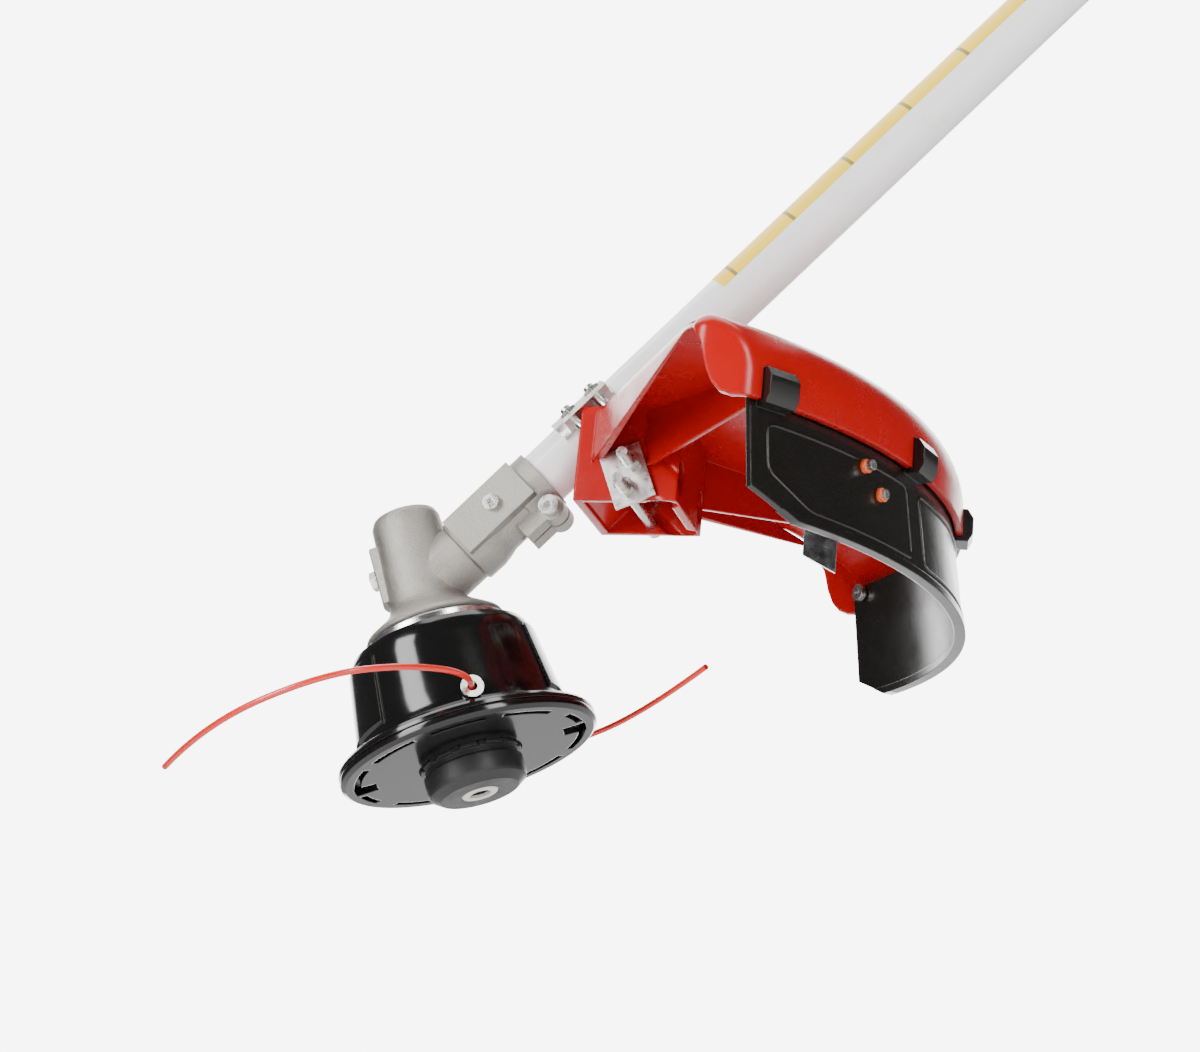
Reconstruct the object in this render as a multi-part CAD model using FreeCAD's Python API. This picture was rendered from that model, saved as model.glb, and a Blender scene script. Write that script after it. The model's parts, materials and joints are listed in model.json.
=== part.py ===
import FreeCAD, Part
import math
import os
from FreeCAD import Vector, Rotation, Placement

# String trimmer, lower unit: drive tube, bevel gearbox, bump-feed head and guard.
# Working frame, in mm: the origin is the apex, where the tube's axis crosses the spin
# axis. +Z is up along the spin axis, +X leans with the tube toward the operator.
# Every node is moved at export so that the tube's upper end is the row's origin.

# ---- driving dimensions ----
TUBE_ANGLE = 65.0       # between the tube's axis and the spin axis
TUBE_R = 13.0           # painted outside of the drive tube
TUBE_BORE = 11.5
TUBE_LOW = 43.0         # where the tube starts, along its axis from the apex
TUBE_TOP = 720.0
BARE_R = 12.7           # unpainted coupling end
BARE_LEN = 62.0
SHAFT_R = 4.0           # steel drive shaft inside the tube
SHAFT_OUT = 15.0        # how far the square drive stands out of the tube
SQUARE = 5.6            # across the flats of the upper drive end
BUSH_AT = (180.0, 330.0, 480.0, 630.0)

# gearbox casting
BOX_TOP = 38.0
BOX_R_TOP = 15.7
BOX_R_LOW = 17.3
CONE_R = 31.5
CONE_LOW = -21.0
SOCKET_BORE = 13.05

# bevel pair
Z_PINION = 14
Z_DRIVEN = 19
MODULE = 1.25
FACE = 7.0
FLANK_GAP = 0.09        # taken off every tooth flank for backlash

# trimmer head
PLATE_R = 32.0
PLATE_TOP = -21.6
PLATE_LOW = -26.5
HEAD_LOW = -81.0        # underside of the cap
KNOB_LOW = -97.0
KNOB_R = 22.0
EXIT_Z = -65.0
EXIT_ANGLE = -66.0      # one line exit; the other is opposite
WINDOW_ANGLE = 12.0     # one latch window; the other is opposite
LINE_R = 1.35

# guard, drawn level and then leaned back about Y; heights are above its own plane
GUARD_LEAN = 22.15      # the guard's slope down toward the operator
GUARD_X = 27.0          # axis of the curved rear wall
GUARD_R = 209.0
GUARD_WALL = 3.0
GUARD_REACH = 150.0     # half width at the ends of the rear wall
GUARD_FRONT = 79.0
ROOF_Z = 82.0
RIM_Z = 35.7
LIP_FRONT = 53.0        # lower edge of the front lip, beside the tube
LIP_REAR = 67.0         # and where it meets the hanging lobe
LOBE = 21.0             # length of the hanging lobe at each end
MOUNT_HALF = 25.0       # half width of the block that takes the tube
BOLT_PLACES = ((101.0, -19.5), (101.0, 19.5), (115.0, -19.5), (115.0, 19.5))
CROSS_BOLTS = ((109.0, 12.0), (103.5, 1.5))

# skirt below the guard
SKIRT_TOP = 46.7
SKIRT_LOW = -8.3
SKIRT_R_TOP = 203.6
SKIRT_R_LOW = 211.6
SKIRT_WALL = 3.0
SKIRT_HALF = 44.7       # half angle of the skirt, in degrees
CORNER_HALF = 38.8      # where the lower corners start to rise
CORNER_Z = 1.3
CLIP_ANGLES = (-42.0, -17.4, 7.2, 31.8)
SCREW_ANGLE = 42.6
SCREW_Z = 43.0
BLADE_ANGLE = -26.7
BLADE_HOLES = ((-1.4, 26.0), (1.2, 17.0))
BLADE_Y = -88.0         # the blade's leg stands in this plane

X = Vector(1, 0, 0)
Y = Vector(0, 1, 0)
Z = Vector(0, 0, 1)
TILT = Rotation(Y, TUBE_ANGLE)
AXIS_DIR = TILT.multVec(Z)
EXPORT_SHIFT = AXIS_DIR * (-TUBE_TOP)


# ---- shape helpers ----
def lathe(profile):
    """Solid of revolution about Z from (radius, height) corners."""
    wire = Part.makePolygon([Vector(r, 0, z) for r, z in profile + profile[:1]])
    return Part.Face(wire).revolve(Vector(), Z, 360)


def ring(r_out, r_in, low, high):
    return lathe([(r_in, low), (r_out, low), (r_out, high), (r_in, high)])


def rod(radius, low, high):
    return Part.makeCylinder(radius, high - low, Vector(0, 0, low))


def block(x0, x1, y0, y1, z0, z1):
    return Part.makeBox(x1 - x0, y1 - y0, z1 - z0, Vector(x0, y0, z0))


def prism(corners, z0, z1):
    """Flat outline in XY pulled up from z0 to z1."""
    wire = Part.makePolygon([Vector(x, y, z0) for x, y in corners + corners[:1]])
    return Part.Face(wire).extrude(Vector(0, 0, z1 - z0))


def side_prism(corners, y0, y1):
    """Flat outline in XZ pulled along Y."""
    wire = Part.makePolygon([Vector(x, y0, z) for x, z in corners + corners[:1]])
    return Part.Face(wire).extrude(Vector(0, y1 - y0, 0))


def hexagon(across, low, high):
    radius = across / math.sqrt(3)
    corners = []
    for k in range(6):
        a = math.radians(60 * k + 30)
        corners.append((radius * math.cos(a), radius * math.sin(a)))
    return prism(corners, low, high)


def turned(shape, degrees):
    copy = shape.copy()
    copy.rotate(Vector(), Z, degrees)
    return copy


def placed(shape, rotation, offset=Vector()):
    copy = shape.copy()
    copy.Placement = Placement(offset, rotation).multiply(copy.Placement)
    return copy


def on_tube(shape):
    """Local Z runs along the tube from the apex, local X is the tube's underside."""
    return placed(shape, TILT)


def moved(shape, x, y, z):
    copy = shape.copy()
    copy.translate(Vector(x, y, z))
    return copy


def fuse(shapes):
    return shapes[0].multiFuse(shapes[1:]).removeSplitter()


def group(shapes):
    return Part.makeCompound(shapes)


def guard_point(radius, degrees, height=0.0):
    a = math.radians(degrees)
    return Vector(GUARD_X + radius * math.cos(a), radius * math.sin(a), height)


def lean_back(shape):
    return placed(shape, Rotation(Y, GUARD_LEAN))


def skirt_radius(height):
    """Outside radius of the flared skirt at a height."""
    part = (SKIRT_TOP - height) / (SKIRT_TOP - SKIRT_LOW)
    return SKIRT_R_TOP + (SKIRT_R_LOW - SKIRT_R_TOP) * part


# ---- drive tube ----
def drive_tube():
    bare = TUBE_TOP - BARE_LEN
    profile = [
        (TUBE_BORE, TUBE_LOW),
        (TUBE_R, TUBE_LOW),
        (TUBE_R, bare),
        (BARE_R, bare),
        (BARE_R, TUBE_TOP - 1),
        (BARE_R - 0.7, TUBE_TOP),
        (TUBE_BORE, TUBE_TOP),
    ]
    locator = moved(placed(rod(2.6, -1, 20), Rotation(X, 90)), -1, 0, 49)
    return on_tube(lathe(profile).cut(locator))


def tube_bushes():
    bushes = []
    for a in BUSH_AT:
        sleeve = ring(6.5, SHAFT_R + 0.05, a - 10, a + 10)
        fins = block(-TUBE_BORE + 0.1, TUBE_BORE - 0.1, -1.5, 1.5, a - 9, a + 9)
        cross = fins.fuse(turned(fins, 90))
        cross = cross.common(rod(TUBE_BORE - 0.05, a - 10, a + 10))
        cross = cross.cut(rod(5.0, a - 11, a + 11))
        bushes.append(on_tube(fuse([sleeve, cross])))
    return group(bushes)


def drive_shaft():
    lower = block(-2.5, 2.5, -2.5, 2.5, 32, 52)
    middle = rod(SHAFT_R, 50, TUBE_TOP - 10)
    half = SQUARE / 2
    upper = block(-half, half, -half, half, TUBE_TOP - 12, TUBE_TOP + SHAFT_OUT)
    return on_tube(fuse([lower, middle, upper]))


def label_band():
    """Thin warning band wrapped round the upper side of the tube."""
    band = ring(TUBE_R + 0.15, TUBE_R + 0.02, 190, 420)
    keep = block(-20, -1.5, -20, 20, 180, 430)
    return on_tube(band.common(keep))


# ---- gearbox ----
def arm_outside():
    profile = [
        (0, 4),
        (14.5, 4),
        (14.5, 25),
        (15.9, 26),
        (16.1, 35),
        (15.4, 39),
        (14.4, 43),
        (14.3, 58),
        (15.0, 58.6),
        (15.0, 73.4),
        (0, 73.4),
    ]
    return on_tube(lathe(profile))


def gearbox_housing():
    body = lathe([
        (0, CONE_LOW),
        (CONE_R - 0.8, CONE_LOW),
        (CONE_R, CONE_LOW + 0.9),
        (CONE_R - 0.6, CONE_LOW + 2.2),
        (BOX_R_LOW + 5, CONE_LOW + 8.2),
        (BOX_R_LOW + 1.4, CONE_LOW + 11.5),
        (BOX_R_LOW, CONE_LOW + 15),
        (BOX_R_TOP, BOX_TOP - 4),
        (BOX_R_TOP - 1.2, BOX_TOP - 1.3),
        (BOX_R_TOP - 4, BOX_TOP),
        (0, BOX_TOP),
    ])
    pad = block(-BOX_R_LOW - 2.2, 0, -9, 9, -2, 25).common(rod(BOX_R_LOW + 2.2, -3, 26))
    side_pad = on_tube(block(-11, 9, -16.6, 0, 27, 66))
    lug = on_tube(moved(placed(rod(6.0, -9, 9), Rotation(X, 90)), 16.5, 0, 66.5))
    web = on_tube(block(8, 20, -9, 9, 50, 69))
    web = web.common(on_tube(block(0, 19.5, -9, 9, 50, 73.4)))
    locator = on_tube(moved(placed(rod(4.4, 0, 16.4), Rotation(X, 90)), -1, 0, 49))
    solid = fuse([body, arm_outside(), pad, side_pad, lug, web, locator])
    hollow = [
        rod(13.4, -8, 22),
        rod(13.0, 21, 30),
        rod(9.0, 29, 33),
        rod(14.0, CONE_LOW - 1, -8),
        ring(15.0, 10, -17.5, -16.2),
        on_tube(rod(11.0, 4, TUBE_LOW)),
        on_tube(ring(11.9, 8, 40.3, 41.6)),
        on_tube(rod(SOCKET_BORE, 42.6, 80)),
        on_tube(block(10, 26, -0.9, 0.9, 48, 80)),
        on_tube(moved(placed(rod(2.6, -20, 20), Rotation(X, 90)), 16.5, 0, 66.5)),
        on_tube(moved(placed(rod(2.6, -1, 20), Rotation(X, 90)), -1, 0, 49)),
        moved(placed(rod(4.1, -24, -9), Rotation(Y, 90)), 0, 0, 13),
    ]
    for tool in hollow:
        solid = solid.cut(tool)
    return solid


def screw(radius, length, head_r, head_h, socket=True):
    """Cap screw pointing down -Z, its head above z = 0."""
    shape = fuse([rod(radius, -length, 0.01), rod(head_r, 0, head_h)])
    if socket:
        shape = shape.cut(hexagon(radius * 1.25, head_h * 0.45, head_h + 1))
    return shape


def clamp_screw():
    shape = screw(2.5, 17.5, 4.4, 4.6)
    shape = placed(shape, Rotation(X, 90))
    return on_tube(moved(shape, 16.5, -9, 66.5))


def locating_screw():
    shape = screw(2.5, 4.6, 3.6, 2.6)
    shape = placed(shape, Rotation(X, 90))
    return on_tube(moved(shape, -1, -16.7, 49))


def grease_plug():
    plug = fuse([rod(4.0, -5.8, 0.01), hexagon(8.0, 0, 2.6)])
    plug = plug.cut(rod(2.0, 1.2, 3))
    plug = placed(plug, Rotation(Y, -90))
    return moved(plug, -BOX_R_LOW - 2.25, 0, 13)


def bearing(r_bore, r_out, low, high):
    """Ball bearing on Z: outer race, inner race and its ring of balls."""
    mid = (r_bore + r_out) / 2
    centre = (low + high) / 2
    ball_r = (r_out - r_bore) * 0.24
    track = Part.makeTorus(mid, ball_r + 0.08, Vector(0, 0, centre))
    outer = ring(r_out, mid + ball_r * 0.62, low, high).cut(track)
    inner = ring(mid - ball_r * 0.62, r_bore, low, high).cut(track)
    balls = []
    for k in range(8):
        ball = Part.makeSphere(ball_r, Vector(mid, 0, centre))
        balls.append(turned(ball, 45 * k))
    return outer, inner, balls


def bearings():
    upper = bearing(5.0, 13.0, 22, 30)
    lower = bearing(6.0, 14.0, -16, -8)
    first = bearing(5.0, 11.0, 22, 28)
    second = bearing(5.0, 11.0, 34, 40)
    outer = [upper[0], lower[0], on_tube(first[0]), on_tube(second[0])]
    head_inner = [upper[1], lower[1]]
    drive_inner = [on_tube(first[1]), on_tube(second[1])]
    head_balls = upper[2] + lower[2]
    drive_balls = [on_tube(ball) for ball in first[2] + second[2]]
    return outer, head_inner, drive_inner, head_balls, drive_balls


def circlip(r_out, low, high):
    open_ring = ring(r_out, r_out - 2.6, low, high)
    return open_ring.cut(block(0, 30, -2.5, 2.5, low - 1, high + 1))


def circlips():
    return group([circlip(14.9, -17.4, -16.25), on_tube(circlip(11.85, 40.35, 41.5))])


def bevel_cone(z_this, z_other):
    shaft = math.radians(TUBE_ANGLE)
    return math.atan2(math.sin(shaft), z_other / z_this + math.cos(shaft))


def bevel_gear(teeth, cone, bore):
    """Straight bevel gear on +Z with the pitch cone's apex at the origin."""
    pitch_r = MODULE * teeth / 2
    outer = pitch_r / math.sin(cone)
    scale = (outer - FACE) / outer
    back_r = pitch_r / math.cos(cone)
    base_r = back_r * math.cos(math.radians(20))
    add = MODULE
    ded = 1.2 * MODULE
    pitch_half = math.pi * MODULE / 4 - FLANK_GAP
    involute = math.tan(math.radians(20)) - math.radians(20)

    def half_width(radius):
        if radius <= base_r:
            return half_width(base_r + 0.001)
        alpha = math.acos(base_r / radius)
        angle = pitch_half / back_r + involute - (math.tan(alpha) - alpha)
        return radius * math.sin(angle)

    heights = (-ded - 0.3, -0.6, 0.0, 0.5 * add, add)
    right = [(h, half_width(back_r + h)) for h in heights]
    outline = right + [(h, -w) for h, w in reversed(right)]
    outward = Vector(math.cos(cone), 0, -math.sin(cone))
    centre = Vector(pitch_r, 0, pitch_r / math.tan(cone))
    big = [centre + outward * h + Y * w for h, w in outline]
    small = [point * scale for point in big]
    big_wire = Part.makePolygon(big + big[:1])
    small_wire = Part.makePolygon(small + small[:1])
    tooth = Part.makeLoft([small_wire, big_wire], True, True)
    root = centre - outward * ded
    root_in = root * scale
    back = pitch_r / math.tan(cone) + 2.6
    blank = lathe([
        (bore, root_in.z - 0.6),
        (root_in.x - 1.2, root_in.z - 0.6),
        (root_in.x, root_in.z),
        (root.x, root.z),
        (root.x - 1.0, back),
        (bore, back),
    ])
    solids = [blank]
    for k in range(teeth):
        solids.append(turned(tooth, 360.0 * k / teeth))
    return fuse(solids)


def pinion():
    cone = bevel_cone(Z_PINION, Z_DRIVEN)
    gear = bevel_gear(Z_PINION, cone, 1.0)
    stem = rod(5.0, 14, 46)
    shoulder = rod(6.4, 18, 22)
    shape = fuse([gear, stem, shoulder])
    shape = shape.cut(block(-2.6, 2.6, -2.6, 2.6, 31, 50))
    return on_tube(shape.cut(rod(1.5, 0, 9)))


def driven_gear():
    cone = bevel_cone(Z_DRIVEN, Z_PINION)
    gear = bevel_gear(Z_DRIVEN, cone, 5.0)
    return turned(gear, 180.0 / Z_DRIVEN)


def output_shaft():
    return lathe([
        (0, -50),
        (4.2, -50),
        (5.0, -49),
        (5.0, PLATE_LOW),
        (6.0, PLATE_LOW),
        (6.0, 7.2),
        (5.0, 7.3),
        (5.0, 31.5),
        (4.2, 32.2),
        (0, 32.2),
    ])


def gear_spacer():
    return ring(6.6, 5.0, 18.2, 22)


def oil_seal():
    return ring(14.0, 8.3, -20.8, -17.7)


# ---- trimmer head ----
def thrust_plate():
    plate = lathe([
        (6.0, PLATE_LOW),
        (PLATE_R - 0.7, PLATE_LOW),
        (PLATE_R, PLATE_LOW + 0.7),
        (PLATE_R, PLATE_TOP - 0.8),
        (PLATE_R - 0.8, PLATE_TOP),
        (8.0, PLATE_TOP),
        (8.0, -16.0),
        (6.0, -16.0),
    ])
    return plate


def exit_hole(radius, start, end):
    hole = placed(rod(radius, start, end), Rotation(Y, 90))
    return moved(hole, 0, 0, EXIT_Z)


def bell():
    """Upper half of the head: an open bell with a central hub."""
    shell = lathe([
        (5.05, PLATE_LOW),
        (36.5, PLATE_LOW),
        (39.6, PLATE_LOW - 1.2),
        (41.3, PLATE_LOW - 4.5),
        (45.5, -66),
        (46.6, -69.5),
        (50.5, -72.2),
        (56.2, -73.6),
        (57.3, -75.0),
        (57.3, -76.7),
        (54.6, -76.7),
        (49.0, -74.6),
        (44.2, -72.0),
        (42.6, -67),
        (38.6, -32),
        (37.0, -30.4),
        (11.5, -30.4),
        (11.5, -52),
        (5.05, -52),
    ])
    wall = [(41.0, -35.5), (42.4, -33.0), (46.6, -64.0), (45.2, -66.0)]
    raised = []
    for middle in (EXIT_ANGLE + 90, EXIT_ANGLE + 270):
        sector = lathe(wall)
        wedge = prism([(0, 0), (70, -52), (70, 52)], -70, -30)
        raised.append(sector.common(turned(wedge, middle)))
    shell = fuse([shell] + raised)
    for turn in (0, 180):
        shell = shell.cut(turned(exit_hole(3.6, 36, 60), EXIT_ANGLE + turn))
    return shell.cut(hexagon(17.1, -50, -40))


def head_nut():
    return hexagon(17.0, -49.9, -40.1).cut(rod(5.02, -51, -39))


def eyelets():
    rings = []
    for turn in (0, 180):
        tube = exit_hole(3.5, 40.2, 47.2)
        lip = exit_hole(4.9, 46.9, 48.4)
        shape = fuse([tube, lip]).cut(exit_hole(2.1, 38, 50))
        rings.append(turned(shape, EXIT_ANGLE + turn))
    return group(rings)


def cap():
    """Lower cover of the head, held by two latches."""
    shape = lathe([
        (23.0, HEAD_LOW),
        (55.4, HEAD_LOW),
        (57.2, HEAD_LOW + 1.4),
        (57.5, HEAD_LOW + 2.8),
        (57.2, HEAD_LOW + 3.9),
        (54.0, HEAD_LOW + 3.9),
        (53.0, HEAD_LOW + 2.5),
        (23.0, HEAD_LOW + 2.5),
    ])
    guide = ring(41.2, 39.4, HEAD_LOW + 2, HEAD_LOW + 8)
    shape = fuse([shape, guide])
    for k in range(10):
        middle = WINDOW_ANGLE + 36 * k + 18
        if k in (4, 9):
            continue
        shape = shape.cut(slot_arc(48.6, 51.6, middle, 27))
    shape = shape.cut(slot_arc(48.6, 51.6, WINDOW_ANGLE + 36 * 4.5, 17))
    shape = shape.cut(slot_arc(48.6, 51.6, WINDOW_ANGLE - 18, 17))
    for turn in (0, 180):
        shape = shape.cut(slot_arc(42.0, 52.0, WINDOW_ANGLE + turn, 13))
    return shape


def slot_arc(r_in, r_out, middle, spread):
    sector = ring(r_out, r_in, HEAD_LOW - 1, HEAD_LOW + 3.2)
    reach = 80 * math.tan(math.radians(spread / 2))
    wedge = prism([(0, 0), (80, -reach), (80, reach)], HEAD_LOW - 2, HEAD_LOW + 4)
    return sector.common(turned(wedge, middle))


def knob():
    """Bump knob with its inner flange and the post that carries the spool."""
    shape = lathe([
        (4.7, KNOB_LOW),
        (17.5, KNOB_LOW),
        (21.4, KNOB_LOW + 2.8),
        (KNOB_R, KNOB_LOW + 4.5),
        (KNOB_R, -85.5),
        (20.6, -84.8),
        (20.6, -82.4),
        (22.4, -82.0),
        (22.4, -78.0),
        (24.6, -78.0),
        (24.6, -75.6),
        (12.25, -75.6),
        (12.25, -60),
        (9.2, -60),
        (9.2, -90),
        (4.7, -90),
    ])
    groove = Part.makeCylinder(2.4, 5, Vector(23.4, 0, -85.2))
    for k in range(12):
        shape = shape.cut(turned(groove, 30 * k))
    return shape.cut(ring(8.3, 4, KNOB_LOW - 1, KNOB_LOW + 1.2))


def knob_insert():
    return lathe([
        (4.7, KNOB_LOW - 0.3),
        (7.6, KNOB_LOW - 0.3),
        (8.2, KNOB_LOW + 0.3),
        (8.2, KNOB_LOW + 1.2),
        (4.7, KNOB_LOW + 1.2),
    ])


def spool():
    return lathe([
        (12.3, -75.3),
        (15.0, -75.3),
        (15.0, -73.0),
        (36.5, -73.0),
        (36.5, -70.6),
        (20.0, -70.6),
        (20.0, -46.4),
        (36.5, -46.4),
        (36.5, -44.0),
        (17.8, -44.0),
        (17.8, -54.5),
        (12.3, -54.5),
    ])


def line_winding():
    """The wound line, drawn as one ribbed bundle of turns."""
    profile = [(20.1, -70.4), (33.0, -70.4)]
    turns = 8
    pitch = (70.4 - 46.6) / turns
    for k in range(turns):
        low = -70.4 + k * pitch
        profile.append((34.2, low + pitch / 2))
        profile.append((33.0, low + pitch))
    profile.append((20.1, -46.6))
    return lathe(profile)


def feed_spring():
    """Compression spring between the bell and the spool's ledge."""
    wire = 0.8
    coil = 15.0
    low = -53.6
    high = -31.3
    path = Part.makeHelix((high - low) / 5, high - low, coil)
    path.translate(Vector(0, 0, low))
    section = Part.makeCircle(wire, Vector(coil, 0, low), Y)
    return Part.Wire(path.Edges).makePipeShell([Part.Wire(section)], True, True)


# ---- cut line, bent as it leaves the head ----
def bent_line(corners):
    """Round tube along straight runs joined by tangent arcs."""
    points = [Vector(x, y, z) for x, y, z in corners]
    edges = []
    start = points[0]
    for before, here, after in zip(points, points[1:], points[2:]):
        run_in = here - before
        run_out = after - here
        turn = run_in.getAngle(run_out)
        setback = 0.45 * min(run_in.Length, run_out.Length)
        radius = setback / math.tan(turn / 2)
        entry = here - run_in.normalize() * setback
        leave = here + run_out.normalize() * setback
        inward = ((entry + leave) * 0.5 - here).normalize()
        middle = here + inward * (radius / math.cos(turn / 2) - radius)
        edges.append(Part.makeLine(start, entry))
        edges.append(Part.Arc(entry, middle, leave).toShape())
        start = leave
    edges.append(Part.makeLine(start, points[-1]))
    wire = Part.Wire(edges)
    direction = points[1] - points[0]
    section = Part.Wire(Part.makeCircle(LINE_R, points[0], direction))
    return wire.makePipeShell([section], True, True)


def exit_point(angle, radius):
    a = math.radians(angle)
    return (radius * math.cos(a), radius * math.sin(a), EXIT_Z)


def line_near():
    return bent_line([
        exit_point(EXIT_ANGLE, 42.5),
        exit_point(EXIT_ANGLE, 62),
        (8, -95, EXIT_Z),
        (-20, -119, EXIT_Z - 0.5),
        (-73, -111, EXIT_Z),
        (-106, -78, EXIT_Z + 1),
    ])


def line_far():
    return bent_line([
        exit_point(EXIT_ANGLE + 180, 42.5),
        exit_point(EXIT_ANGLE + 180, 62),
        (-8, 77, EXIT_Z),
        (22, 80, EXIT_Z + 0.5),
        (64, 76, EXIT_Z),
        (105, 43, EXIT_Z + 1),
    ])


# ---- guard ----
def guard_outline(inset):
    """Plan of the guard: a short front, straight flanks and a curved rear wall."""
    radius = GUARD_R - inset
    reach = GUARD_REACH - inset
    tip_x = GUARD_X + math.sqrt(radius * radius - reach * reach)
    front = GUARD_FRONT + inset
    half = MOUNT_HALF - inset
    low_tip = Vector(tip_x, -reach, 0)
    high_tip = Vector(tip_x, reach, 0)
    rear = Part.Arc(low_tip, Vector(GUARD_X + radius, 0, 0), high_tip).toShape()
    flanks = [
        high_tip,
        Vector(tip_x - LOBE, reach, 0),
        Vector(front, half, 0),
        Vector(front, -half, 0),
        Vector(tip_x - LOBE, -reach, 0),
        low_tip,
    ]
    return Part.Face(Part.Wire([rear, Part.makePolygon(flanks)]))


def guard_dome(inset, low):
    """Body of revolution under a shallow roof, with a smooth shoulder down to the wall."""
    top = ROOF_Z - inset
    edge = GUARD_R - inset
    foot = Vector(edge, 0, top - 37)
    shoulder = Vector(edge - 8.5, 0, top - 16)
    brow = Vector(edge - 34, 0, top - 8.5)
    crown = Vector(0, 0, top + 3)
    curve = Part.BSplineCurve()
    up = Vector(0, 0, 30)
    inward = Vector(-30, 0, 2.2)
    curve.interpolate([foot, shoulder, brow], InitialTangent=up, FinalTangent=inward)
    base = Vector(0, 0, low)
    edges = [
        Part.makeLine(base, Vector(edge, 0, low)),
        Part.makeLine(Vector(edge, 0, low), foot),
        curve.toShape(),
        Part.makeLine(brow, crown),
        Part.makeLine(crown, base),
    ]
    dome = Part.Face(Part.Wire(edges)).revolve(Vector(), Z, 360)
    return moved(dome, GUARD_X, 0, 0)


def guard_mass(inset, low, brow_r=0):
    """Solid fan with rounded corners and, if asked, a rounded brow, drawn level."""
    column = guard_outline(inset)
    column.translate(Vector(0, 0, low))
    column = column.extrude(Vector(0, 0, 200))
    ends = GUARD_REACH - inset - 1
    upright = [e for e in column.Edges if e.BoundBox.ZLength > 100 and abs(e.BoundBox.YMax) > ends]
    mass = column.makeFillet(8 - inset, upright).common(guard_dome(inset, low))
    if not brow_r:
        return mass
    brow = [e for e in mass.Edges if e.BoundBox.ZMin > low + 5]
    return mass.makeFillet(brow_r, brow)


def guard_shell():
    roof = guard_mass(0, RIM_Z, 7.0)
    shell = roof.cut(guard_mass(GUARD_WALL, RIM_Z - 20))
    # the front wall is only a lip below the roof, so the line can sweep under it
    for y0, y1 in ((MOUNT_HALF - 3, 170), (-170, -MOUNT_HALF + 3)):
        shell = shell.cut(side_prism([
            (40, LIP_FRONT - 6),
            (79, LIP_FRONT),
            (144, LIP_REAR),
            (149, LIP_REAR - 2.5),
            (153.5, LIP_REAR - 10),
            (156, LIP_REAR - 20),
            (158.5, 41),
            (162, 37.2),
            (167, RIM_Z - 0.2),
            (167, 0),
            (40, 0),
        ], y0, y1))
    tall = block(72, 118, -MOUNT_HALF, MOUNT_HALF, RIM_Z, 120)
    mount = tall.common(moved(rod(GUARD_R - 1, RIM_Z, ROOF_Z - 3), GUARD_X, 0, 0))
    ribs = []
    for side in (-1, 1):
        brace = side_prism([(0, 90), (145, 90), (145, 65), (0, 50)], -1, 1)
        brace = placed(brace, Rotation(Z, side * 44), Vector(100, side * 22, 0))
        ribs.append(brace.common(roof))
    shell = fuse([shell, mount] + ribs)
    for degrees in CLIP_ANGLES:
        notch = block(-20, 20, -7.3, 7.3, -40, 13.0)
        shell = shell.cut(on_wall(notch, degrees, GUARD_R, RIM_Z))
    shell = shell.cut(on_wall(on_radius(rod(2.1, -20, 20)), SCREW_ANGLE, GUARD_R, SCREW_Z))
    pocket = block(76, 114, -MOUNT_HALF + 3, MOUNT_HALF - 3, RIM_Z - 1, 80)
    shell = lean_back(shell)
    shell = shell.cut(lean_back(pocket).common(on_tube(block(30, 120, -30, 30, 0, 200))))
    shell = shell.cut(on_tube(rod(TUBE_R + 0.05, 60, 400)))
    shell = shell.cut(on_tube(block(-60, 0, -14, 14, 60, 400)))
    shell = shell.cut(on_tube(block(-60, 0, -28, 28, 60, 124)))
    for along, side in BOLT_PLACES:
        shell = shell.cut(across_tube(rod(2.6, -60, 60), along, side))
        shell = shell.cut(across_tube(rod(5.2, 22, 80), along, side))
    for x, z in CROSS_BOLTS:
        shell = shell.cut(Part.makeCylinder(2.6, 80, Vector(x, -40, z), Y))
    return shell.cut(block(93.7, 118.3, -MOUNT_HALF - 2.4, -MOUNT_HALF, -8.3, 21.3))


def across_tube(shape, along, side):
    """Local Z points to the tube's underside, at a place along and beside the tube."""
    return on_tube(moved(placed(shape, Rotation(Y, 90)), 0, side, along))


def on_radius(shape):
    """Turns local Z to point outward from the guard's axis."""
    return placed(shape, Rotation(Y, 90))


def on_wall(shape, degrees, radius, height):
    """Stands a shape on the level rear wall: local X outward, Z up."""
    return placed(shape, Rotation(Z, degrees), guard_point(radius, degrees, height))


def guard_saddle():
    """Stamped clamp half over the tube, with a flat ear on each side."""
    arch = ring(15.1, TUBE_R + 0.05, 92, 122).common(block(-20, 0, -20, 20, 90, 124))
    ears = [block(-2.1, -0.1, s * 20 - 7, s * 20 + 7, 96, 121) for s in (-1, 1)]
    shape = on_tube(fuse([arch] + ears))
    for along, side in BOLT_PLACES:
        shape = shape.cut(across_tube(rod(2.6, -20, 20), along, side))
    return shape


def clamp_bolts():
    bolt = placed(screw(2.5, 30.5, 4.6, 4.8), Rotation(), Vector(0, 0, 22))
    return group([across_tube(bolt, a, side) for a, side in BOLT_PLACES])


def clamp_nuts():
    nut = hexagon(8.0, -6.2, -2.2).cut(rod(2.52, -10, 0))
    return group([across_tube(nut, a, side) for a, side in BOLT_PLACES])


def guard_bracket():
    plate = block(97, 115.5, -MOUNT_HALF - 2.1, -MOUNT_HALF - 0.1, -6, 20)
    for x, z in CROSS_BOLTS:
        plate = plate.cut(Part.makeCylinder(2.6, 80, Vector(x, -40, z), Y))
    return plate


def bracket_bolts():
    bolt = screw(2.5, 2 * MOUNT_HALF + 16, 4.6, 4.2)
    bolt = placed(bolt, Rotation(X, -90))
    return group([moved(bolt, x, MOUNT_HALF + 0.1, z) for x, z in CROSS_BOLTS])


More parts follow.
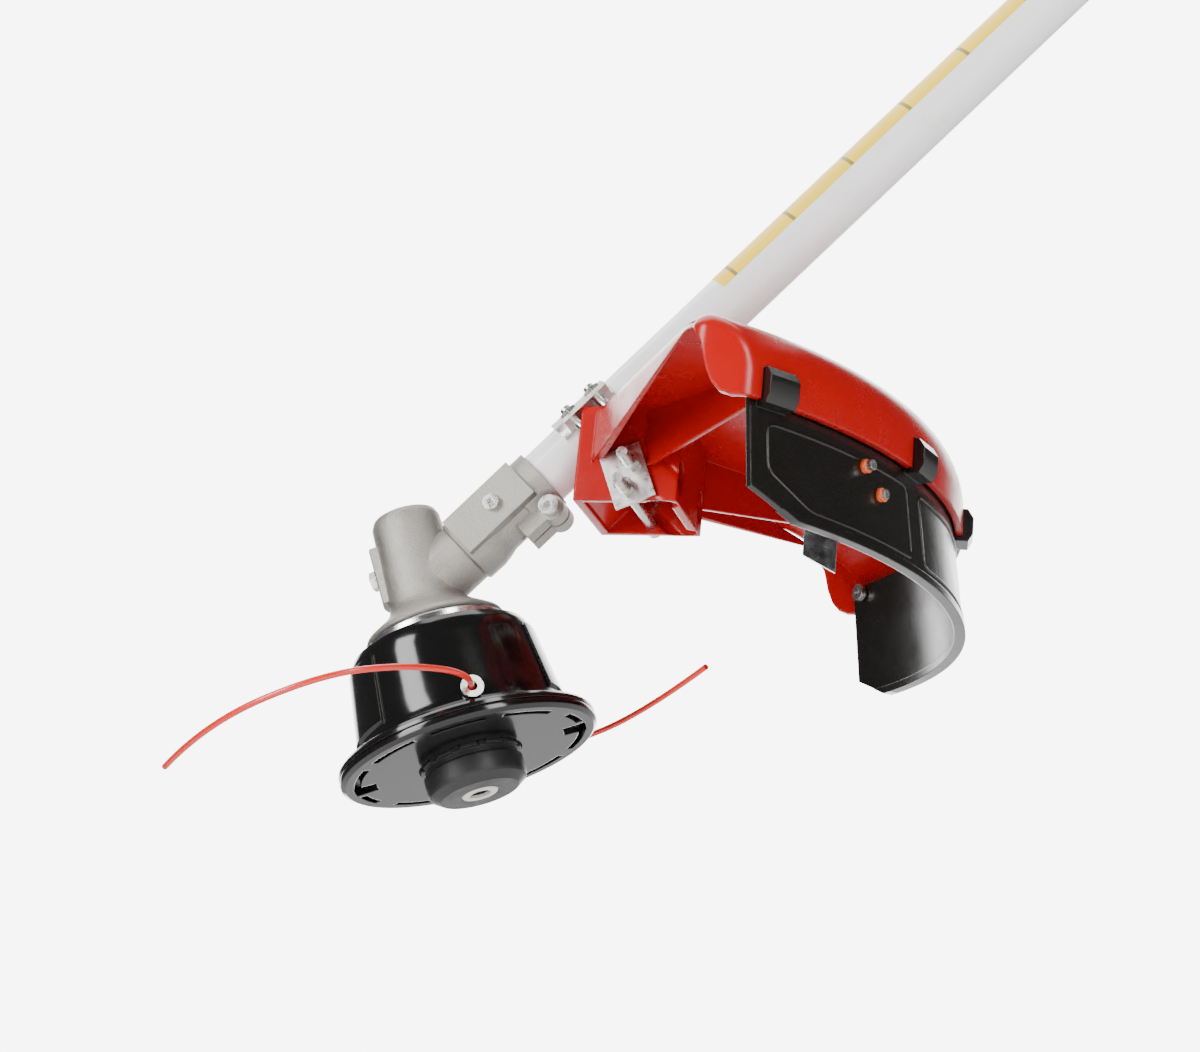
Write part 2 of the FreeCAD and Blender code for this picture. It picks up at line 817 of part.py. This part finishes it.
def bracket_nuts():
    low = MOUNT_HALF + 2.2
    nut = hexagon(8.0, low, low + 4).cut(rod(2.52, low - 1, low + 5))
    nut = placed(nut, Rotation(X, 90))
    return group([moved(nut, x, 0, z) for x, z in CROSS_BOLTS])


# ---- skirt ----
def wedge(half, low, high):
    reach = 300 * math.tan(math.radians(half))
    return prism([(0, 0), (300, -reach), (300, reach)], low, high)


def skirt_band(outside, inside, low, high):
    """Flared band that follows the skirt, thickened by the two amounts."""
    top = skirt_radius(high)
    bottom = skirt_radius(low)
    inner = SKIRT_WALL + inside
    band = lathe([
        (bottom - inner, low),
        (bottom + outside, low),
        (top + outside, high),
        (top - inner, high),
    ])
    return moved(band.common(wedge(SKIRT_HALF, low - 1, high + 1)), GUARD_X, 0, 0)


def corner_cut(side):
    """Wedge that takes the lower corner off one end of the skirt."""
    low = guard_point(SKIRT_R_LOW, side * CORNER_HALF, SKIRT_LOW)
    end = guard_point(SKIRT_R_LOW, side * (SKIRT_HALF + 0.2), CORNER_Z)
    down = Vector(0, 0, -40)
    face = Part.Face(Part.makePolygon([low, end, end + down, low + down, low]))
    outward = Rotation(Z, side * (CORNER_HALF + SKIRT_HALF) / 2).multVec(X)
    face.translate(outward * -14)
    return face.extrude(outward * 28)


def skirt():
    wall = skirt_band(0, 0, SKIRT_LOW, SKIRT_TOP)
    bead = skirt_band(0.7, 1.2, SKIRT_LOW, SKIRT_LOW + 3.4)
    parts = [wall, bead]
    for degrees in CLIP_ANGLES:
        root = SKIRT_R_TOP - GUARD_R - 1
        hook = [(root, -2), (2.4, -2), (4.4, 1.5), (4.4, 8.5), (1.8, 12.5), (root, 12.5)]
        boss = side_prism(hook, -6.8, 6.8)
        parts.append(on_wall(boss, degrees, GUARD_R, RIM_Z))
    shape = fuse(parts)
    for side in (-1, 1):
        shape = shape.cut(corner_cut(side))
    drill = on_radius(rod(2.6, -12, 12))
    for offset, height in BLADE_HOLES:
        shape = shape.cut(on_wall(drill, BLADE_ANGLE + offset, GUARD_R, height))
    shape = shape.cut(on_wall(drill, SCREW_ANGLE, GUARD_R, SCREW_Z))
    return lean_back(shape)


def skirt_screw():
    shape = screw(2.0, 11.0, 4.2, 2.6, socket=False)
    shape = shape.cut(block(-0.6, 0.6, -2.4, 2.4, 1.2, 4))
    shape = shape.cut(block(-2.4, 2.4, -0.6, 0.6, 1.2, 4))
    seat = skirt_radius(SCREW_Z) - SKIRT_WALL - 0.7
    shape = placed(shape, Rotation(Y, -90))
    return lean_back(on_wall(shape, SCREW_ANGLE, seat, SCREW_Z))


def line_cutter():
    """Bent steel blade inside the skirt that trims the line to length."""
    face = skirt_radius(30) - SKIRT_WALL
    foot = on_wall(block(-2.1, -0.4, -13, 13, 9, 33), BLADE_ANGLE, face, 0)
    corners = [(186, -7), (199, -14), (199, 8), (211, 12), (211, 31), (186, 31)]
    leg = side_prism(corners, BLADE_Y, BLADE_Y + 1.6)
    limit = moved(rod(face - 0.6, -20, 40), GUARD_X, 0, 0)
    shape = foot.fuse(leg).common(limit).removeSplitter()
    for offset, height in BLADE_HOLES:
        drill = on_radius(rod(2.1, -12, 12))
        relief = on_radius(rod(4.3, -30, -8.1))
        for tool in (drill, relief):
            shape = shape.cut(on_wall(tool, BLADE_ANGLE + offset, GUARD_R, height))
    return lean_back(shape)


def blade_screws():
    seat = skirt_radius(30) - SKIRT_WALL - 2.25
    shape = placed(screw(2.0, 10.6, 3.8, 2.4), Rotation(Y, -90))
    places = [on_wall(shape, BLADE_ANGLE + offset, seat, z) for offset, z in BLADE_HOLES]
    return group([lean_back(place) for place in places])


def nodes():
    outer, head_inner, drive_inner, head_balls, drive_balls = bearings()
    return {
        "drive_tube": drive_tube(),
        "tube_bushes": tube_bushes(),
        "label_band": label_band(),
        "gearbox_housing": gearbox_housing(),
        "clamp_screw": clamp_screw(),
        "locating_screw": locating_screw(),
        "grease_plug": grease_plug(),
        "bearing_outer_races": group(outer),
        "circlips": circlips(),
        "oil_seal": oil_seal(),
        "guard_shell": guard_shell(),
        "guard_saddle": guard_saddle(),
        "clamp_bolts": clamp_bolts(),
        "clamp_nuts": clamp_nuts(),
        "guard_bracket": guard_bracket(),
        "bracket_bolts": bracket_bolts(),
        "bracket_nuts": bracket_nuts(),
        "skirt": skirt(),
        "skirt_screw": skirt_screw(),
        "line_cutter": line_cutter(),
        "blade_screws": blade_screws(),
        "drive_shaft": drive_shaft(),
        "pinion": pinion(),
        "drive_inner_races": group(drive_inner),
        "drive_balls": group(drive_balls),
        "output_shaft": output_shaft(),
        "driven_gear": driven_gear(),
        "gear_spacer": gear_spacer(),
        "head_inner_races": group(head_inner),
        "head_balls": group(head_balls),
        "thrust_plate": thrust_plate(),
        "bell": bell(),
        "head_nut": head_nut(),
        "eyelets": eyelets(),
        "cap": cap(),
        "knob": knob(),
        "knob_insert": knob_insert(),
        "spool": spool(),
        "line_winding": line_winding(),
        "feed_spring": feed_spring(),
        "line_near": line_near(),
        "line_far": line_far(),
    }


def main():
    os.makedirs("parts", exist_ok=True)
    for name, shape in nodes().items():
        shape = shape.copy()
        shape.translate(EXPORT_SHIFT)
        shape.exportStep("parts/" + name + ".step")


main()
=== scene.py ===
import json
import math
import bpy
from mathutils import Matrix, Vector


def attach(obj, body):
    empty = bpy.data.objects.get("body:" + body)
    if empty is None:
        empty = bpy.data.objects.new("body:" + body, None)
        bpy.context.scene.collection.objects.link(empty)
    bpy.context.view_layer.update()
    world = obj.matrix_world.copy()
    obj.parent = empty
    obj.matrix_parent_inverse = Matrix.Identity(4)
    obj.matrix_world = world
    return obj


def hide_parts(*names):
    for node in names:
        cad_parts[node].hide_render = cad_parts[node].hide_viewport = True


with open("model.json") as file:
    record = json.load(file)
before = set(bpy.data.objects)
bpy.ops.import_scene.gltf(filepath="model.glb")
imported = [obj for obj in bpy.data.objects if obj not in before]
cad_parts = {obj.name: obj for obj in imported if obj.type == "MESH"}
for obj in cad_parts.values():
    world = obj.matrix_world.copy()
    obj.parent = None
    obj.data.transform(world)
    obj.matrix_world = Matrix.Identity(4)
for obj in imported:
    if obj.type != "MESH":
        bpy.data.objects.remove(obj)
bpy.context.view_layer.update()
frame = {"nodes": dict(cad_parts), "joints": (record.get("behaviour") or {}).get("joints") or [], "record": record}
NODES = frame["nodes"]

# the crossing of the tube and spin axes, which every route below is measured from
SPIN = next(j for j in frame["joints"] if j["name"] == "head_spin")
APEX = Vector(SPIN["pos_m"])
TUBE_TILT = math.radians(65)

# the rest of the part's measures that the pieces below follow, in millimetres and degrees
LINE_R = 1.35
EXIT_ANGLE = -66
EXIT_Z = -65
GUARD_LEAN = 22.15
GUARD_X = 27
SKIRT_TOP = 46.7
SKIRT_DEPTH = 55.0
SKIRT_R = 203.6
SKIRT_FLARE = 8.0
BEAD_R = 0.7
COLLAR_R = 2.1


def place(x, y, z):
    """A point given in millimetres from the apex, in the row frame."""
    return APEX + Vector((x, y, z)) / 1000


def shown(name, data):
    """A new object for the data, linked into the scene."""
    piece = bpy.data.objects.new(name, data)
    bpy.context.scene.collection.objects.link(piece)
    return piece


def round_curve(name, radius, resolution):
    """An empty curve that is drawn as a round bar, its radius in millimetres."""
    curve = bpy.data.curves.new(name, "CURVE")
    curve.dimensions = "3D"
    curve.bevel_depth = radius / 1000
    curve.bevel_resolution = resolution
    return curve


# ---- camera ----
def aim(azimuth, elevation, roll):
    """Turn for a camera that looks back along the direction given in degrees."""
    az, el, turn = (math.radians(a) for a in (azimuth, elevation, roll))
    back = Vector((math.sin(az) * math.cos(el), -math.cos(az) * math.cos(el), math.sin(el)))
    right = (-back).cross(Vector((0, 0, 1))).normalized()
    up = right.cross(-back)
    across = math.cos(turn) * right + math.sin(turn) * up
    upward = math.cos(turn) * up - math.sin(turn) * right
    return Matrix((across, upward, back)).transposed().to_4x4()


lens = bpy.data.cameras.new("camera")
lens.lens = 66.04
lens.sensor_width = 36
lens.clip_end = 20
camera = shown("camera", lens)
camera.matrix_world = Matrix.Translation((-0.4369, -0.8926, -0.6680)) @ aim(8.359, -21.965, -17.36)
bpy.context.scene.camera = camera


# ---- cutting line ----
def exit_point(angle, radius):
    """A point at the height of the line exits."""
    a = math.radians(angle)
    return (radius * math.cos(a), radius * math.sin(a), EXIT_Z)


def line(name, points):
    """One free length of nylon line along a smooth route."""
    curve = round_curve(name, LINE_R, 4)
    curve.resolution_u = 16
    curve.use_fill_caps = True
    spline = curve.splines.new("NURBS")
    spline.points.add(len(points) - 1)
    for point, spot in zip(spline.points, points):
        point.co = (*place(*spot), 1)
    spline.order_u = 3
    spline.use_endpoint_u = True
    piece = shown(name, curve)
    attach(piece, "head")
    return piece


near_line = line("cutting_line_near", [
    exit_point(EXIT_ANGLE, 42.5),
    exit_point(EXIT_ANGLE, 62),
    (8, -95, EXIT_Z),
    (-20, -119, EXIT_Z - 0.5),
    (-73, -111, EXIT_Z),
    (-106, -78, EXIT_Z + 1),
])
far_line = line("cutting_line_far", [
    exit_point(EXIT_ANGLE + 180, 42.5),
    exit_point(EXIT_ANGLE + 180, 62),
    (-8, 77, EXIT_Z),
    (22, 80, EXIT_Z + 0.5),
    (64, 76, EXIT_Z),
    (105, 43, EXIT_Z + 1),
])
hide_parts("line_near")
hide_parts("line_far")


# ---- materials ----
class Paint:
    """Node tree of one material, with helpers that add and join nodes."""

    def __init__(self, name, colour, rough, metal=0.0):
        self.material = bpy.data.materials.new(name)
        self.material.use_nodes = True
        self.nodes = self.material.node_tree.nodes
        self.links = self.material.node_tree.links
        self.shader = self.nodes["Principled BSDF"]
        self.set("Base Color", (*colour, 1))
        self.set("Roughness", rough)
        self.set("Metallic", metal)
        coords = self.nodes.new("ShaderNodeTexCoord")
        shift = self.nodes.new("ShaderNodeMapping")
        shift.inputs["Location"].default_value = -APEX
        self.links.new(coords.outputs["Object"], shift.inputs["Vector"])
        self.where = shift.outputs["Vector"]
        self.normal = None

    def set(self, socket, value):
        """One number or colour for the whole surface."""
        self.shader.inputs[socket].default_value = value

    def along(self, tilt, stretch):
        """Coordinates turned to the tube's axis, and stretched along it."""
        turn = self.nodes.new("ShaderNodeMapping")
        turn.inputs["Rotation"].default_value = (0, -tilt, 0)
        turn.inputs["Scale"].default_value = stretch
        self.links.new(self.where, turn.inputs["Vector"])
        return turn.outputs["Vector"]

    def noise(self, scale, detail=3.0, rough=0.55, where=None):
        node = self.nodes.new("ShaderNodeTexNoise")
        node.inputs["Scale"].default_value = scale
        node.inputs["Detail"].default_value = detail
        node.inputs["Roughness"].default_value = rough
        self.links.new(where or self.where, node.inputs["Vector"])
        return node.outputs["Fac"]

    def rings(self, scale, where=None):
        node = self.nodes.new("ShaderNodeTexWave")
        node.wave_type = "RINGS"
        node.rings_direction = "Z"
        node.inputs["Scale"].default_value = scale
        node.inputs["Distortion"].default_value = 0.6
        node.inputs["Detail"].default_value = 2
        self.links.new(where or self.where, node.inputs["Vector"])
        return node.outputs["Fac"]

    def spread(self, value, low, high, start=0.0, end=1.0):
        node = self.nodes.new("ShaderNodeMapRange")
        node.inputs["From Min"].default_value = start
        node.inputs["From Max"].default_value = end
        node.inputs["To Min"].default_value = low
        node.inputs["To Max"].default_value = high
        self.links.new(value, node.inputs["Value"])
        return node.outputs["Result"]

    def mixed(self, factor, first, second):
        """Colour between two, either of which may be another node's output."""
        node = self.nodes.new("ShaderNodeMix")
        node.data_type = "RGBA"
        self.links.new(factor, node.inputs["Factor"])
        for socket, value in ((node.inputs[6], first), (node.inputs[7], second)):
            if isinstance(value, tuple):
                socket.default_value = (*value, 1)
            else:
                self.links.new(value, socket)
        return node.outputs[2]

    def tint(self, source):
        self.links.new(source, self.shader.inputs["Base Color"])

    def polish(self, source):
        self.links.new(source, self.shader.inputs["Roughness"])

    def bump(self, height, depth, distance=0.001):
        node = self.nodes.new("ShaderNodeBump")
        node.inputs["Strength"].default_value = depth
        node.inputs["Distance"].default_value = distance
        self.links.new(height, node.inputs["Height"])
        if self.normal:
            self.links.new(self.normal, node.inputs["Normal"])
        self.normal = node.outputs["Normal"]
        self.links.new(self.normal, self.shader.inputs["Normal"])

    def round_edges(self, radius):
        node = self.nodes.new("ShaderNodeBevel")
        node.samples = 4
        node.inputs["Radius"].default_value = radius
        self.normal = node.outputs["Normal"]
        self.links.new(self.normal, self.shader.inputs["Normal"])


def shade(colour, factor):
    return tuple(min(1.0, c * factor) for c in colour)


def moulded(name, colour, rough, grain=0.12, coat=0.0, edge=0.0004, uneven=0.12):
    """Moulded plastic: faint colour drift, uneven gloss and a fine surface grain."""
    paint = Paint(name, colour, rough)
    paint.round_edges(edge)
    drift = paint.noise(22, 4)
    paint.tint(paint.mixed(drift, shade(colour, 1 - uneven), shade(colour, 1 + uneven)))
    smears = paint.noise(60, 5, 0.65)
    paint.polish(paint.spread(smears, rough * 0.82, rough * 1.25, 0.3, 0.7))
    paint.bump(paint.noise(45, 1), grain * 0.25, 0.0006)
    paint.bump(paint.noise(2600, 2), grain, 0.00008)
    paint.set("Coat Weight", coat)
    paint.set("Coat Roughness", 0.06)
    return paint


def metal(name, colour, rough, brush=None, grain=0.15, edge=0.0003, stain=0.18):
    """Metal with fine tool marks or grain, and slight staining in its gloss and colour."""
    paint = Paint(name, colour, rough, 1.0)
    paint.round_edges(edge)
    patches = paint.noise(45, 5, 0.6)
    paint.tint(paint.mixed(patches, shade(colour, 1 - stain), shade(colour, 1 + stain * 0.6)))
    paint.polish(paint.spread(paint.noise(240, 4, 0.6), rough * 0.7, rough * 1.4, 0.3, 0.7))
    if brush == "turned":
        paint.bump(paint.rings(1500), grain, 0.00006)
    elif brush == "drawn":
        paint.bump(paint.noise(60, 4, 0.7, paint.along(TUBE_TILT, (40, 40, 1))), grain, 0.0001)
    else:
        paint.bump(paint.noise(1400, 3, 0.6), grain, 0.0001)
    return paint


def cast():
    """Sand-blasted aluminium: grey, matt, with a coarse grain and darker specks."""
    colour = (0.35, 0.332, 0.305)
    paint = Paint("cast_housing_look", colour, 0.46, 1.0)
    paint.round_edges(0.0009)
    cloud = paint.noise(55, 4, 0.6)
    speck = paint.noise(1500, 3, 0.7)
    base = paint.mixed(cloud, shade(colour, 0.86), shade(colour, 1.12))
    paint.tint(paint.mixed(paint.spread(speck, 0, 1, 0.56, 0.70), base, shade(colour, 0.62)))
    paint.polish(paint.spread(cloud, 0.42, 0.60, 0.3, 0.7))
    paint.bump(paint.noise(130, 3), 0.25, 0.0009)
    paint.bump(speck, 0.65, 0.00045)
    return paint


def guard_plastic():
    """Glossy red polypropylene, a little translucent."""
    colour = (0.36, 0.0018, 0.0016)
    paint = moulded("guard_red_look", colour, 0.24, grain=0.06, edge=0.0014, uneven=0.10)
    paint.set("Specular IOR Level", 0.38)
    paint.set("Subsurface Weight", 0.05)
    paint.set("Subsurface Radius", (0.010, 0.002, 0.001))
    paint.set("Subsurface Scale", 0.6)
    return paint


def tube_lacquer():
    """White gloss lacquer with orange peel and a trace of grime."""
    colour = (0.87, 0.87, 0.86)
    paint = Paint("tube_paint_look", colour, 0.2)
    paint.round_edges(0.0004)
    grime = paint.noise(35, 6, 0.7)
    paint.tint(paint.mixed(paint.spread(grime, 0, 0.5, 0.55, 0.75), colour, (0.66, 0.65, 0.62)))
    paint.polish(paint.spread(paint.noise(80, 4), 0.16, 0.30, 0.3, 0.7))
    paint.bump(paint.noise(420, 2), 0.10, 0.0003)
    paint.set("Coat Weight", 0.6)
    paint.set("Coat Roughness", 0.05)
    return paint


def label_film():
    """Yellow film crossed by plain dark bars."""
    colour = (0.95, 0.62, 0.01)
    paint = moulded("label_yellow_look", colour, 0.38, grain=0.05, coat=0.15)
    axis = paint.along(TUBE_TILT, (1, 1, 1))
    split = paint.nodes.new("ShaderNodeSeparateXYZ")
    paint.links.new(axis, split.inputs["Vector"])
    wave = paint.nodes.new("ShaderNodeMath")
    wave.operation = "PINGPONG"
    wave.inputs[1].default_value = 0.018
    paint.links.new(split.outputs["Z"], wave.inputs[0])
    bars = paint.spread(wave.outputs["Value"], 0, 0.75, 0.0170, 0.0172)
    paint.tint(paint.mixed(bars, paint.shader.inputs["Base Color"].links[0].from_socket,
                           (0.05, 0.05, 0.05)))
    return paint


def nylon_line():
    """Red-orange extruded line, a little translucent."""
    colour = (0.60, 0.016, 0.006)
    paint = moulded("line_nylon_look", colour, 0.3, grain=0.1, coat=0.2, edge=0.0002)
    paint.set("Subsurface Weight", 0.15)
    paint.set("Subsurface Radius", (0.004, 0.001, 0.0005))
    paint.set("Subsurface Scale", 0.5)
    return paint


LOOKS = {
    "tube_paint": tube_lacquer(),
    "bush_plastic": moulded("bush_plastic_look", (0.03, 0.03, 0.03), 0.5),
    "label_yellow": label_film(),
    "cast_housing": cast(),
    "zinc": metal("zinc_look", (0.70, 0.69, 0.66), 0.26, stain=0.12),
    "zinc_sheet": metal("zinc_sheet_look", (0.74, 0.73, 0.70), 0.34, stain=0.15),
    "bearing_steel": metal("bearing_steel_look", (0.66, 0.67, 0.69), 0.16, "turned"),
    "spring_steel": metal("spring_steel_look", (0.33, 0.33, 0.35), 0.3),
    "seal_rubber": moulded("seal_rubber_look", (0.02, 0.02, 0.02), 0.75, grain=0.3),
    "guard_red": guard_plastic(),
    "skirt_black": moulded("skirt_black_look", (0.007, 0.006, 0.005), 0.22, 0.12, 0.0, 0.0008),
    "blade_steel": metal("blade_steel_look", (0.30, 0.30, 0.31), 0.2, "drawn"),
    "shaft_steel": metal("shaft_steel_look", (0.55, 0.55, 0.56), 0.22, "drawn"),
    "gear_steel": metal("gear_steel_look", (0.40, 0.40, 0.41), 0.28),
    "machined_ring": metal("machined_ring_look", (0.76, 0.75, 0.74), 0.22, "turned", 0.4),
    "head_black": moulded("head_black_look", (0.004, 0.004, 0.004), 0.12, 0.05, 0.0, 0.0006),
    "eyelet_metal": metal("eyelet_metal_look", (0.78, 0.77, 0.74), 0.24, "turned"),
    "knob_black": moulded("knob_black_look", (0.008, 0.008, 0.008), 0.45, 0.3, 0.0, 0.0006),
    "insert_pale": moulded("insert_pale_look", (0.60, 0.58, 0.52), 0.4, 0.2),
    "spool_plastic": moulded("spool_plastic_look", (0.04, 0.04, 0.04), 0.42, 0.2),
    "line_nylon": nylon_line(),
}

for part in frame["record"]["subparts"]:
    for slot in NODES[part["node"]].material_slots:
        slot.link = "OBJECT"
        slot.material = LOOKS[part["material_slot"]].material
for piece in (near_line, far_line):
    piece.data.materials.append(LOOKS["line_nylon"].material)


# ---- smooth shading by edge angle ----
def smoothing(degrees):
    """Geometry nodes that smooth a mesh except at edges sharper than the angle."""
    tree = bpy.data.node_groups.new("smooth_by_angle", "GeometryNodeTree")
    tree.interface.new_socket("Geometry", in_out="INPUT", socket_type="NodeSocketGeometry")
    tree.interface.new_socket("Geometry", in_out="OUTPUT", socket_type="NodeSocketGeometry")
    start = tree.nodes.new("NodeGroupInput")
    end = tree.nodes.new("NodeGroupOutput")
    plain = tree.nodes.new("GeometryNodeRemoveAttribute")
    plain.inputs["Name"].default_value = "custom_normal"
    faces = tree.nodes.new("GeometryNodeSetShadeSmooth")
    edges = tree.nodes.new("GeometryNodeSetShadeSmooth")
    edges.domain = "EDGE"
    angle = tree.nodes.new("GeometryNodeInputMeshEdgeAngle")
    limit = tree.nodes.new("FunctionNodeCompare")
    limit.data_type = "FLOAT"
    limit.operation = "LESS_EQUAL"
    limit.inputs["B"].default_value = math.radians(degrees)
    tree.links.new(angle.outputs["Unsigned Angle"], limit.inputs["A"])
    tree.links.new(start.outputs[0], plain.inputs["Geometry"])
    tree.links.new(plain.outputs["Geometry"], faces.inputs["Geometry"])
    tree.links.new(faces.outputs["Geometry"], edges.inputs["Geometry"])
    tree.links.new(limit.outputs["Result"], edges.inputs["Shade Smooth"])
    tree.links.new(edges.outputs["Geometry"], end.inputs[0])
    return tree


SMOOTH = smoothing(32)


def soften(node):
    piece = NODES[node]
    weld = piece.modifiers.new("weld", "WELD")
    weld.merge_threshold = 0.00001
    smooth = piece.modifiers.new("smooth", "NODES")
    smooth.node_group = SMOOTH


for node in NODES:
    if node not in ("line_near", "line_far"):
        soften(node)


# ---- skirt trim ----
LEAN = Matrix.Rotation(math.radians(GUARD_LEAN), 3, "Y")


def on_skirt(angle, height, out=0.0):
    """A point on the skirt's outer face, from its angle about the guard's axis and its height."""
    radius = SKIRT_R + SKIRT_FLARE * (SKIRT_TOP - height) / SKIRT_DEPTH + out
    a = math.radians(angle)
    level = Vector((GUARD_X + radius * math.cos(a), radius * math.sin(a), height))
    return place(*(LEAN @ level))


def walk(corners, step=1.5):
    """Angle and height pairs along straight runs between the corners, closed."""
    path = []
    for (a0, z0), (a1, z1) in zip(corners, corners[1:] + corners[:1]):
        count = max(1, round(math.hypot((a1 - a0) * 3.6, z1 - z0) / step))
        path += [(a0 + (a1 - a0) * k / count, z0 + (z1 - z0) * k / count) for k in range(count)]
    return path


def rounded(path, turns=5):
    """The closed path with its corners smoothed by averaging neighbours."""
    for _ in range(turns):
        path = [tuple((p + 2 * q + r) / 4 for p, q, r in zip(path[k - 1], path[k],
                path[(k + 1) % len(path)])) for k in range(len(path))]
    return path


def bead(name, corners):
    """Raised line round one panel of the skirt, half sunk in its face."""
    curve = round_curve(name, BEAD_R, 3)
    path = rounded(walk(corners))
    spline = curve.splines.new("POLY")
    spline.points.add(len(path) - 1)
    for point, (angle, height) in zip(spline.points, path):
        point.co = (*on_skirt(angle, height, -0.1), 1)
    spline.use_cyclic_u = True
    curve.materials.append(LOOKS["skirt_black"].material)
    piece = shown(name, curve)
    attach(piece, "frame")


bead("skirt_panel_near", [(-42.5, 28), (-42.5, 9), (-37, -2.5), (-19.3, -2.5), (-19.3, 28)])
bead("skirt_panel_middle", [(-16.2, 28), (-16.2, -2.5), (16.2, -2.5), (16.2, 28)])
bead("skirt_panel_far", [(42.5, 28), (42.5, 9), (37, -2.5), (19.3, -2.5), (19.3, 28)])


def thread_lock():
    """Set orange adhesive, lumpy and slightly clear."""
    paint = moulded("thread_lock_look", (0.75, 0.10, 0.015), 0.35, grain=0.4, edge=0.0001)
    paint.set("Subsurface Weight", 0.2)
    paint.set("Subsurface Scale", 0.4)
    return paint.material


LOCK = thread_lock()


def collar(name, angle, height):
    """Three turns of thread lock where a blade screw comes through the skirt.

    The frame has no slot for adhesive, so the piece is filed under the line's slot,
    which has the nearest colour. Its material is its own.
    """
    centre = on_skirt(angle, height, 0.3)
    outward = (on_skirt(angle, height, 10) - centre).normalized()
    side = outward.orthogonal().normalized()
    over = outward.cross(side)
    curve = round_curve(name, BEAD_R, 3)
    curve.materials.append(LOCK)
    count = 48
    spline = curve.splines.new("POLY")
    spline.points.add(3 * count - 1)
    for k, point in enumerate(spline.points):
        a = 2 * math.pi * k / count
        wobble = COLLAR_R / 1000 + 0.00012 * math.sin(2.3 * a)
        rise = outward * 0.0006 * k / count
        spot = centre + wobble * (math.cos(a) * side + math.sin(a) * over) + rise
        point.co = (*spot, 1)
    piece = shown(name, curve)
    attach(piece, "frame")


collar("thread_lock_upper", -28.1, 26)
collar("thread_lock_lower", -25.5, 17)


# ---- studio ----
def studio_material(name, colour, rough):
    """Nearly even paint for the studio."""
    paint = Paint(name, colour, rough)
    paint.tint(paint.mixed(paint.noise(3, 3), shade(colour, 0.985), shade(colour, 1.015)))
    return paint.material


def floor():
    mesh = bpy.data.meshes.new("floor")
    low = -1.06
    mesh.from_pydata([(-6, -6, low), (6, -6, low), (6, 6, low), (-6, 6, low)], [], [(0, 1, 2, 3)])
    mesh.materials.append(studio_material("floor_look", (0.82, 0.82, 0.82), 0.7))
    return shown("floor", mesh)


def softbox(name, spot, target, wide, tall, power):
    light = bpy.data.lights.new(name, "AREA")
    light.shape = "RECTANGLE"
    light.size = wide
    light.size_y = tall
    light.energy = power
    piece = shown(name, light)
    piece.location = spot
    piece.rotation_euler = (Vector(target) - Vector(spot)).to_track_quat("-Z", "Y").to_euler()


def surround():
    """White behind the object, and dim on the side that the glossy black parts mirror."""
    world = bpy.data.worlds.new("studio")
    world.use_nodes = True
    tree = world.node_tree
    coords = tree.nodes.new("ShaderNodeTexCoord")
    toward = tree.nodes.new("ShaderNodeVectorMath")
    toward.operation = "DOT_PRODUCT"
    toward.inputs[1].default_value = (-0.13, 0.91, 0.39)
    ramp = tree.nodes.new("ShaderNodeMapRange")
    ramp.interpolation_type = "SMOOTHSTEP"
    ramp.inputs["From Min"].default_value = 0.80
    ramp.inputs["From Max"].default_value = 0.93
    ramp.inputs["To Min"].default_value = 0.10
    ramp.inputs["To Max"].default_value = 7.5
    tree.links.new(coords.outputs["Generated"], toward.inputs[0])
    tree.links.new(toward.outputs["Value"], ramp.inputs["Value"])
    tree.links.new(ramp.outputs["Result"], tree.nodes["Background"].inputs["Strength"])
    tree.nodes["Background"].inputs["Color"].default_value = (1, 1, 1, 1)
    bpy.context.scene.world = world


floor()
surround()
softbox("key_light", (-1.5, -1.5, 0.35), APEX, 0.7, 1.6, 58)
softbox("side_light", (0.7, -1.3, 0.0), (-0.5, 0, -0.3), 0.5, 1.2, 24)
softbox("under_light", (-0.6, -0.5, -1.04), APEX, 0.9, 0.6, 4)
softbox("top_light", (-0.4, 0.2, 1.3), APEX, 1.6, 1.6, 34)
